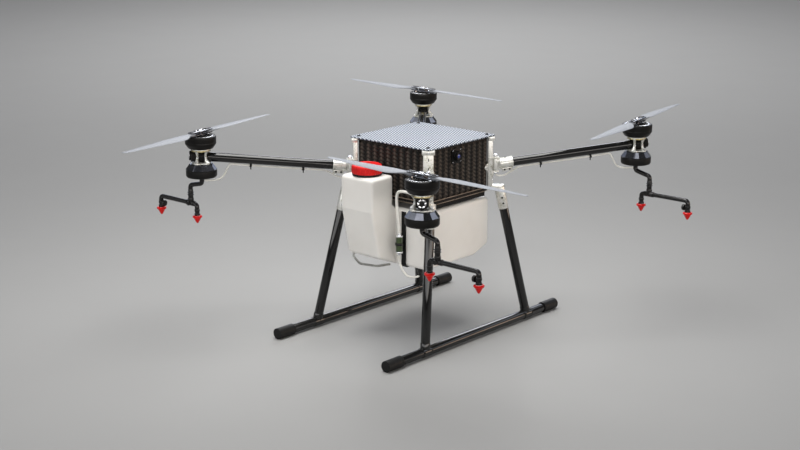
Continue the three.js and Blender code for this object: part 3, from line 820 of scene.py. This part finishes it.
def foot_saddle():
    """A thin clamp round the skid and a sleeve up the leg, with a small gusset between them."""
    outer = 16.2
    x, y, z = LEG_FOOT
    shell = ring(TUBE + 0.1, outer, 4, 44, 0.4, 40, 1).at(aim((x, y - 24, z), (x, y + 24, z)))
    sleeve = pipe(LEG_FOOT - LEG_LINE * 27, LEG_FOOT - LEG_LINE * 9, outer, TUBE + 0.1, 0.5, 40)
    fin = prism(fillet([(-19, 13), (19, 13), (3, 30), (-3, 30)], 2, 2, closed=True), -1.6, 1.6, 0.6)
    return shell + sleeve + fin.at(UPRIGHT).move(x, y, z)


def leg_screws():
    """Two screws in the foot clamp and two in line on the leg socket."""
    x, y, z = LEG_FOOT
    foot = [(x + 15.6, y + d, z + 4) for d in (-18, 18)]
    out = Vector((0.74, -0.67, 0)).cross(LEG_LINE).cross(LEG_LINE).normalized() * -1
    socket = [LEG_TOP + LEG_LINE * s + out * 16.6 for s in (34, 54)]
    return bolts(foot, (1, 0, 0.2), 2.4, 1.8) + bolts(socket, out, 3.2, 1.6)


# ----- arm, along +X from its pivot -----
ARM_FRAME = Matrix.Translation((PIVOT.x, PIVOT.y, 0)) @ Matrix.Rotation(YAW, 4, "Z")
ARM_TILT = Matrix.Translation((0, 0, ARM_ROOT_Z)) @ Matrix.Rotation(-DIHEDRAL, 4, "Y")


def axis_z(s):
    return ARM_ROOT_Z + s * tan(DIHEDRAL)


def arm_point(s, drop=0.0):
    return Vector((s, 0, axis_z(s) - drop))


def arm_root():
    knuckle = ring(5.3, 10, 521.4, 560.6, 0.8, 32)
    web = block(4, 20, -9, 9, 524, 558, 2, 2)
    flare = turned([
        (0, 0), (12, 0), (17.6, 8), (17.6, 45), (19.2, 46), (19.2, 50), (TUBE + 0.2, 50), (TUBE + 0.2, 20),
        (0, 20),
    ], 0.9).at(aim(arm_point(7), arm_point(60)))
    ears = block(20, 54, -6.5, 6.5, -27, -14, 1.6, 2).at(ARM_TILT)
    rib = block(8, 26, -3, 3, 556, 562, 1.2, 1)
    return together([knuckle, web, flare, ears, rib])


def arm_root_screws():
    made = [bolt((s, side * 6.2, -21.5), (0, side, 0), 3.2, 2.6) for s in (28, 45) for side in (-1, 1)]
    made += [bolt((34, 0, 17.2), UP, 2.4, 1.6)]
    return together(made).at(ARM_TILT)


def arm_hose():
    start = ((0, 511.5), (1, 508), (6, 504.5), (16, 502), (30, 503.5), (46, 511), (64, 521))
    end = ((-84, 551), (-73, 530), (-60, 517), (-41, 512), (-9, 512))
    line = [(s, 0, z) for s, z in start]
    line += [arm_point(s, 20) for s in (84, 150, 250, 350, 386)]
    line += [(REACH + s, 0, z) for s, z in end]
    return sweep(smooth_path(line), 2.9, 14)


def hose_clips():
    """Small ties that hang the hose under the tube."""
    made = []
    for s in (150, 320):
        made.append(ring(3.6, 5.6, 0, 7, 0.5, 20, 1).at(aim(arm_point(s, 20), arm_point(s + 9, 20))))
        made.append(block(s, s + 6.5, -2.6, 2.6, axis_z(s) - 17, axis_z(s) - 13.5, 0.5))
        made.append(disc(1.8, axis_z(s) - 33, axis_z(s) - 24, 0.5, 12).move(s + 3.2))
    return together(made)


def strut(s, t):
    """One slender leg of the motor mount: flared at its foot and a little at its head."""
    out = Vector((s, t)).normalized()
    heading = Matrix(((out.x, -out.y), (out.y, out.x)))
    sections = [
        (573, 7.5, 15, 13), (575, 7.5, 15, 13), (577.5, 6, 12, 10), (582, 2.6, 7.5, 8), (588, 0.4, 5.2, 7.4),
        (596, 0, 5, 7.2), (603, 0.6, 6, 7.6), (608, 2.2, 8.5, 8.6), (613, 4.6, 12, 10),
    ]
    rings = []
    for z, lean, deep, wide in sections:
        outline = rectangle(-deep / 2, deep / 2, -wide / 2, wide / 2, 1.8, 2)
        centre = Vector((s, t)) + out * lean
        rings.append([(*(heading @ Vector(p[:2]) + centre), z) for p in outline])
    return loft(rings)


def motor_mount():
    star = []
    lobe_heading = atan2(22, 13)
    for k in range(96):
        a = 2 * pi * k / 96
        toward = a - copysign(lobe_heading, sin(2 * a))
        reach = 31.5 + 7.5 * max(0.0, cos(4 * toward)) ** 0.8
        star.append((reach * cos(a), reach * sin(a)))
    stator = turned([(0, 616), (15, 616), (15, 630), (40, 633), (40, 649), (0, 649)], 1, 40, 1)
    parts = [prism(star, 569.9, 573.6, 0.9), disc(29, 612.8, 616.5), stator]
    parts += [strut(s, t) for s in (-13, 13) for t in (-20, 20)]
    return together(parts).move(REACH)


def motor_clamp():
    """A six-sided clamp block round the tube, with ears that the struts pass."""
    rings = []
    for z, grow in ((0, -1.2), (1.2, 0), (50.8, 0), (52, -1.2)):
        rings.append([])
        for x, y in circle(1, 48):
            flat = (atan2(y, x) + 13 * pi / 6) % (pi / 3) - pi / 6
            reach = min(20.6, 17.6 / cos(flat)) + grow
            rings[-1].append((reach * x, reach * y, z))
    shell = loft(rings).at(aim(arm_point(REACH - 20), arm_point(REACH + 19)))
    ears = [block(REACH - 8, REACH + 8, side * 19 - 3, side * 19 + 3, 587, 598, 1.2, 2) for side in (-1, 1)]
    return shell + together(ears)


def mount_screws():
    made = []
    for along in (-13, 13):
        for side in (-1, 1):
            made.append(bolt((REACH + along, side * 23.2, 592), (0, side, 0), 3, 2))
            made.append(bolt((REACH + along * 1.38, side * 27.8, 575), UP, 2.4, 1.8))
    return together(made)


def tube_end():
    """The socket that closes the arm tube's outer end."""
    return disc(15.6, 0, 4.5, 1).at(aim(arm_point(REACH + 32.5), arm_point(REACH + 50)))


def tube_end_ring():
    """Six bright petals round a dark middle."""
    outline = fillet([(7.5, -3.2), (12.6, -5), (12.6, 5), (7.5, 3.2)], 1.2, 2, closed=True)
    petals = [prism(outline, 0, 1.8).turn(k * pi / 3) for k in range(6)]
    return together(petals).at(aim(arm_point(REACH + 36.8), arm_point(REACH + 50)))


# ----- motor and propeller, at the motor's own axis -----
def esc_facets():
    """The faceted shoulder of the lower can."""
    top = CAN_HIGH.z
    profile = [(0, 549), (49, 549.5), (50.2, 551), (37.5, top - 1.2), (35.5, top), (0, top)]
    return lathe(profile, 12).turn(pi / 12)


def esc_can():
    low = CAN_LOW.z
    return turned([
        (0, low), (40, low), (47.5, low + 2), (50, low + 6.5), (50, 546.5), (49.2, 547.3), (49.2, 548.4),
        (50, 549.2), (50, 550.6), (46, 550.9), (0, 550.9),
    ], 0.8, 64)


def bell():
    low, shoulder, top = 619, 634, 660
    return turned([
        (0, low + 4), (30, low + 4), (33, low), (38, low), (41, low + 1.8), (47.6, 630.5), (49.5, shoulder),
        (50, shoulder + 2), (50, 639), (49.4, 639.6), (49.4, 640.8), (50, 641.4), (50, top - 3.5),
        (48.5, top - 1), (45.5, top), (39.5, top), (38, top - 1.2), (37, top - 4.5), (0, top - 4.5),
    ], 0.5, 72)


def spider():
    """Dark spokes over the dished top of the bell, and the boss under the propeller."""
    outline = fillet([(8, -4.5), (37.6, -2.6), (37.6, 2.6), (8, 4.5)], 1, 2, closed=True)
    spokes = [prism(outline, 655.6, 658.8, 0.8).turn(k * pi / 3 + 0.2) for k in range(6)]
    return together(spokes) + turned([(0, 655), (14, 655), (14, 660.5), (10.5, 662.4), (0, 662.4)], 0.8)


def bell_dish():
    """The bright floor and lip inside the bell's rim."""
    return disc(36.8, 655.3, 656, 0.2, 64) + ring(36.6, 40.6, 655.6, 660.3, 0.8, 64)


def hub():
    """Two waisted plates that hold the blade roots between them, and a spacer."""
    quarter = [(12, 12.5, 6), (18, 10.5, 6), (42, 10.5, 0), (52.5, 10.5, 10)]
    half = [(x, -y, r) for x, y, r in quarter] + quarter[::-1]
    corners = half + [(-x, -y, r) for x, y, r in half]
    outline = fillet([corner[:2] for corner in corners], [corner[2] for corner in corners], 5, closed=True)
    plates = prism(outline, 662.7, 665.7, 0.7) + prism(outline, 673.3, 676.3, 0.7)
    return plates + block(-14, 14, -10, 10, 665, 674, 0.6, 2)


def hub_pads():
    """The long dark pads over the two blade bolts."""
    made = [disc(4, 664, 675.4, 0.6, 20).move(side * 42) for side in (-1, 1)]
    made += [block(low, low + 23, -5.2, 5.2, 676, 678.2, 0.8, 4.6) for low in (-50, 27)]
    return together(made)


def shaft():
    return turned([(0, 660), (8, 660), (8, 664), (5, 664), (5, 677.4), (3.6, 678.7), (0, 678.7)], 0.5, 28)


def blade():
    """A tapered, slightly twisted blade along +X from its bolt, its wide edge towards +Y."""
    level, sides = 669, 28
    # Each station: distance out, front edge, back edge, pitch in degrees, thickness, squareness.
    stations = [
        (56, -10, 10, 0, 6, 4), (66, -11, 12.5, -1.2, 5.8, 3.4), (80, -13.5, 21, -2.8, 5.2, 2.8),
        (98, -15.5, 28.6, -3.8, 4.7, 2.3), (118, -16.4, 31.6, -4.2, 4.4, 2), (145, -16.2, 30, -4.1, 4.1, 2),
        (190, -14.8, 26.4, -3.8, 3.7, 2), (240, -13, 21.4, -3.4, 3.3, 2), (290, -11.2, 16.2, -3, 2.9, 2),
        (335, -9.8, 11.8, -2.6, 2.5, 2), (357, -9.2, 8.6, -2.4, 2.2, 2), (366, -8.4, 4.4, -2.3, 1.7, 2),
        (370, -6.4, -0.6, -2.3, 1.2, 2),
    ]
    edges = smooth_path([station[:3] for station in stations], 5)
    shapes = smooth_path([station[3:] for station in stations], 5)
    rings = []
    for (x, front, back), (pitch, thick, square) in zip(edges, shapes):
        middle, half = (front + back) / 2, (back - front) / 2
        power = 2 / max(square, 2)
        crown = 0.06 * half * min(1, max(0.0, (x - 58) / 60))
        twist = Matrix.Rotation(radians(pitch), 2)
        section = []
        for u, v in circle(1, sides):
            share = copysign(abs(u) ** power, u)
            w = thick / 2 * copysign(abs(v) ** power, v) + crown * (1 - share ** 2)
            y, z = twist @ Vector((middle + half * share, w))
            section.append((x, y, level + z))
        rings.append(section)
    root = fillet([(31.5, -10), (60, -10), (60, 10), (31.5, 10)], [9.8, 0.5, 0.5, 9.8], 6, closed=True)
    return loft(rings) + prism(root, level - 3, level + 3, 0.9)


# ----- spray boom, along +X from the motor's axis -----
DROP, ELBOW_Z, BAR_Z, VALVE_Z, FOOT_Z = 57, 489, 429, 406, 398
NEAR, FAR = 28, 207
PIPE = 7.5


def boom_pipes():
    upper = bent([(0, 0, BOOM_TOP - 0.2), (0, 0, 502), (DROP, 0, ELBOW_Z), (DROP, 0, BAR_Z)], 12.5, PIPE, 24)
    bar = bent([(NEAR, 0, FOOT_Z), (NEAR, 0, BAR_Z), (FAR, 0, BAR_Z), (FAR, 0, FOOT_Z)], 13, PIPE, 24)
    return upper + bar + disc(10.5, BOOM_TOP - 3.5, BOOM_TOP - 0.2, 1.2)


def boom_fittings():
    made = [disc(8.4, BAR_Z, 475, 0.8, 32), disc(9.6, BAR_Z - 1, BAR_Z + 17, 1.6, 32)]
    made += [disc(10.8, z, z + 2.6, 0.8, 32) for z in (456, 463)]
    made = [fitting.move(DROP) for fitting in made]
    made.append(rod((DROP - 17, 0, BAR_Z), (DROP + 19, 0, BAR_Z), 9.4, 1.6, 32))
    ends = disc(8.8, 404, 412, 1, 32) + disc(9.4, 392, 398.5, 1, 32)
    return together(made) + ends.move(NEAR) + ends.move(FAR)


def check_valves():
    """A round knob beside the nozzle at the long end, on a short neck."""
    stages = ((0, 13, 5, 0.6, 24), (11, 19, 10.5, 2, 36), (18.5, 20.5, 6, 0.8, 30))
    knob = [rod((FAR - a, 0, VALVE_Z), (FAR - b, 0, VALVE_Z), *rest) for a, b, *rest in stages]
    return together(knob) + rod((DROP, 0, BAR_Z), (DROP, 14, BAR_Z), 7.4, 1.5, 28)


def nozzles():
    one = turned([
        (0, 366), (2.6, 366.2), (4.6, 369), (12.2, 383.5), (15.4, 385), (15.8, 389.5), (13, 392.2),
        (10.4, 391.2), (9.4, 388.8), (0, 388.6),
    ], 1.3, 40, 3)
    return one.move(NEAR) + one.move(FAR)


# ----- tank -----
# The body and the tower in the (y, z) plane, and the radius of each of their corners.
TANK_SIDE = [(-160, 243), (88, 243), (162, 272), (162, 420), (150, 432), (-148, 432), (-160, 420)]
TANK_RADII = [12, 16, 16, 10, 12, 8, 12]
TOWER_SIDE = [
    (-150, 245), (-150, 425), (-174, 445), (-174, 540), (-274, 540), (-274, 432), (-240, 277), (-160, 245),
]
TOWER_RADII = [6, 8, 10, 9, 13, 16, 16, 8]
TOWER_LEFT, TOWER_RIGHT = -112, 26
NECK_X, NECK_Y = (CAP_LOW.xy + CAP_HIGH.xy) / 2


def moulding(outline, x0, x1, radii, rim):
    """A blow-moulded body: a (y, z) outline run along X, its corners and end rims rounded."""
    curve = []
    for k in range(7):
        a = pi / 12 * k
        curve.append((rim * (1 - cos(a)), rim * (1 - sin(a))))
    sections = [(x0 + dx, d) for dx, d in curve]
    sections += [(x0 + (x1 - x0) * share, 0.0) for share in (0.25, 0.5, 0.75)]
    sections += [(x1 - dx, d) for dx, d in reversed(curve)]
    rings = []
    for x, d in sections:
        rounded = fillet(inset(outline, d), [max(1, r - d * 0.5) for r in radii], 6, closed=True)
        rings.append([(x, *p) for p in rounded])
    return loft(rings)


def tank_shell():
    body = moulding(TANK_SIDE, -TANK_HALF, TANK_HALF, TANK_RADII, 13)
    tower = moulding(TOWER_SIDE, TOWER_LEFT, TOWER_RIGHT, TOWER_RADII, 10)
    profile = [(0, 538), (44, 538), (44, 541.5), (38, 543), (38, 565), (34, 565), (34, 545), (0, 545)]
    return body + tower + turned(profile, 0.8, 56).move(NECK_X, NECK_Y)


def filler_cap():
    low, high = CAP_LOW.z, CAP_HIGH.z
    full = (CAP_HIGH.x - CAP_LOW.x) / 2

    def ribs(r, z, a):
        if r < full - 2.4 or z > high - 6 or z < low + 2:
            return r
        return r - 1.5 * (0.5 + 0.5 * cos(36 * a)) ** 2

    profile = fillet([
        (0, high - 6), (41.5, high - 6), (41.5, low), (full - 1.5, low), (full, low + 2.5), (full, high - 7),
        (full - 2.5, high - 2), (full - 6, high - 0.3), (full - 9, high), (full - 11, high - 1.2),
        (24, high - 1.2), (22, high - 0.2), (0, high - 0.2),
    ], 0.8, 2)
    return lathe(profile, 288, ribs).move(NECK_X, NECK_Y)


def tank_strap():
    """A flat strap under the tank, from the tower to its far side."""
    line = [(-161.4, 424), (-162, 250), (-158, 241.6), (86, 241.6), (163, 271), (163, 424)]
    path = fillet(line, [0, 3, 4, 4, 3, 0], 4)
    rings = []
    for i, here in enumerate(path):
        ahead = path[min(i + 1, len(path) - 1)] - path[max(i - 1, 0)]
        outer = here + Vector((ahead.y, -ahead.x)).normalized() * 1.8
        rings.append([(51, *outer), (69, *outer), (69, *here), (51, *here)])
    return loft(rings)


def tank_pieces():
    piece("tank_shell", tank_shell(), "tank_white", "tank", sharp=50)
    seal = ring(40, 47.5, SEAL_LOW.z, SEAL_HIGH.z, 1.6, 64, 3).move(NECK_X, NECK_Y)
    piece("cap_seal_ring", seal, "rubber_black", "cap_seal", body="cap_lift")
    piece("filler_cap_shell", filler_cap(), "cap_red", "filler_cap", body="cap_turn", sharp=40)
    piece("tank_strap", tank_strap(), "rubber_black")


# ----- liquid line -----
FILTER_X, FILTER_Y, FILTER_LOW, FILTER_HIGH = 57, -181, 291, 350


def stack(levels, sides, x=FILTER_X, y=FILTER_Y):
    """Round parts on one upright line. Each level is a radius, a low, a high and an edge."""
    return together([disc(*level, sides) for level in levels]).move(x, y)


def hose(name, points, radius, sides, look, *stands_for):
    piece(name, sweep(smooth_path(points), radius, sides), look, *stands_for)


def liquid_line():
    x, y, low, high = FILTER_X, FILTER_Y, FILTER_LOW, FILTER_HIGH
    cups = stack([(11.2, low + 5, low + 26, 1.5), (11.2, high - 26, high - 5, 1.5)], 32)
    piece("filter_cups", cups, "filter_green")
    ends = stack([(12.4, low, low + 5.5, 1.2), (12.4, high - 5.5, high, 1.2)], 32)
    ends += stack([(6.6, low - 7, low + 1, 1), (6.6, high - 1, high + 5.5, 1)], 24)
    piece("filter_ends", ends, "steel_bright", "line_filter")
    middle = stack([(13.4, low + 25, high - 25, 1.4)], 32)
    clip = block(-5, 5, 6, 20.5, low + 26, high - 26, 1, 1.5).move(x, y)
    fitting = stack([(8.6, 232, 242.6, 1.2), (6.6, 220, 233, 1)], 24, 117, -148)
    piece("filter_clip", middle + clip + fitting, "pipe_black")
    hose("drain_hose", [
        (x, y, low - 5), (x + 2, y, 262), (x + 12, y + 2, 236), (x + 32, y + 8, 217), (109, -153, 215),
        (117, -148, 226),
    ], 3.4, 16, "hose_white")
    hose("supply_hose_line", [
        (57, -181, 355.5), (55, -181, 385), (51, -183, 425), (48, -183, 462), (49.5, -183, 480),
        (56, -183, 491), (69, -183, 495.5), (86, -182, 496), (104, -180, 494), (118, -175, 484),
        (122, -167, 466), (118, -153, 450), (114, -141, 446), (114, -132, 446),
    ], 4.8, 18, "hose_white", "supply_hose")
    hose("tower_drain_line", [
        (-150, -172, 252), (-143, -182, 246), (-128, -190, 240), (-104, -200, 233), (-94, -203, 231.5),
        (-82, -204, 232), (-30, -206, 237), (-16, -203, 238), (-8, -192, 239), (4, -166, 240),
    ], 3.8, 14, "hose_grey")


# ----- skids and corners -----
def skid_pieces(name, side):
    x, z = side * LEG_FOOT.x, LEG_FOOT.z
    front, back = (x, SKID_LOW.y, z), (x, SKID_HIGH.y, z)
    tube = rod((x, SKID_LOW.y + 20, z), (x, SKID_HIGH.y - 20, z), TUBE, 0.6, 48)
    piece(f"skid_tube_{name}", tube, "tube_black", f"skid_{name}")
    profile = [(0, 0), (18.2, 0), (18.2, 68.5), (17.4, 70), (15.1, 70), (15.1, 68), (0, 68)]
    cover = turned(profile, 1, 56, 3)
    piece(f"skid_caps_{name}", cover.at(aim(front, back)) + cover.at(aim(back, front)), "rubber_black")


def corner_pieces(name, sx, sy):
    def put(title, solid, look, *stands_for, sharp=32):
        nodes = [f"{node}_{name}" for node in stands_for]
        rides = body if body == "root" else f"{body}_{name}"
        piece(f"{title}_{name}", solid.at(place).mirror(sx, sy), look, *nodes, body=rides, sharp=sharp)

    body, place = "root", Matrix()
    put("post_casting", corner_post(), "cast_aluminium", "corner_post")
    put("post_screws", corner_screws(), "steel_bright")
    put("post_slots", post_slots(), "rubber_black")
    leg = pipe(LEG_TOP, LEG_FOOT - LEG_LINE * 4, TUBE, TUBE - 2, 0.5, 40)
    put("leg_tube", leg, "tube_black", "leg")
    put("leg_saddle", foot_saddle(), "tube_black")
    put("leg_screws", leg_screws(), "can_black")

    body, place = "arm", ARM_FRAME
    put("arm_root", arm_root(), "cast_aluminium", "arm_socket")
    put("arm_root_screws", arm_root_screws(), "can_black")
    tube = pipe(arm_point(17), arm_point(REACH + 33.5), TUBE, TUBE - 1.5, 0.5, 48)
    put("arm_carbon", tube, "tube_black", "arm_tube")
    put("arm_line", arm_hose(), "hose_white", "arm_hose")
    put("arm_clips", hose_clips(), "rubber_black")
    put("mount_frame", motor_mount(), "cast_aluminium", "motor_mount")
    put("mount_clamp", motor_clamp(), "can_black")
    put("mount_screws", mount_screws(), "steel_bright")
    put("mount_collar", ring(25, 31.5, 610, 613.5, 0.8, 48).move(REACH), "ring_gold")
    put("tube_plug", tube_end(), "can_black")
    put("tube_plug_ring", tube_end_ring(), "steel_bright")

    place = station = Matrix.Translation((MOTOR.x, MOTOR.y, 0))
    put("esc_can", esc_can(), "can_black", "esc_housing")
    put("esc_facets", esc_facets(), "facet_black", sharp=10)
    put("boom_pipes", boom_pipes(), "pipe_black", "spray_boom")
    put("boom_fittings", boom_fittings(), "pipe_black")
    put("boom_valve", check_valves(), "pipe_black")
    put("boom_nozzles", nozzles(), "nozzle_red")

    offset = joint_place(f"blade_fold_a_{name}") - joint_place(f"rotor_spin_{name}")
    place = station @ Matrix.Rotation(atan2(offset.y * sy, offset.x * sx), 4, "Z")
    body = "rotor"
    put("bell", bell(), "can_black", "rotor")
    put("bell_dish", bell_dish(), "steel_bright")
    put("bell_spider", spider(), "can_black")
    put("hub_plates", hub(), "facet_black")
    put("hub_pads", hub_pads(), "can_black")
    places = [(x, y, 676) for x in (-13, 13) for y in (-6, 6)]
    put("hub_screws", bolts(places, UP, 2.6, 2), "steel_bright")
    put("hub_shaft", shaft(), "steel_bright")
    for tag, turn in (("a", 0.0), ("b", pi)):
        body = f"blade_{tag}"
        put(f"blade_skin_{tag}", blade().mirror(1, sx * sy).turn(turn), "blade_grey", body, sharp=45)


set_camera()
studio()
equipment_box()
camera_unit()
battery()
pump()
tank_pieces()
liquid_line()
skid_pieces("front", 1)
skid_pieces("rear", -1)
for corner, signs in CORNERS.items():
    corner_pieces(corner, *signs)

bpy.context.view_layer.update()
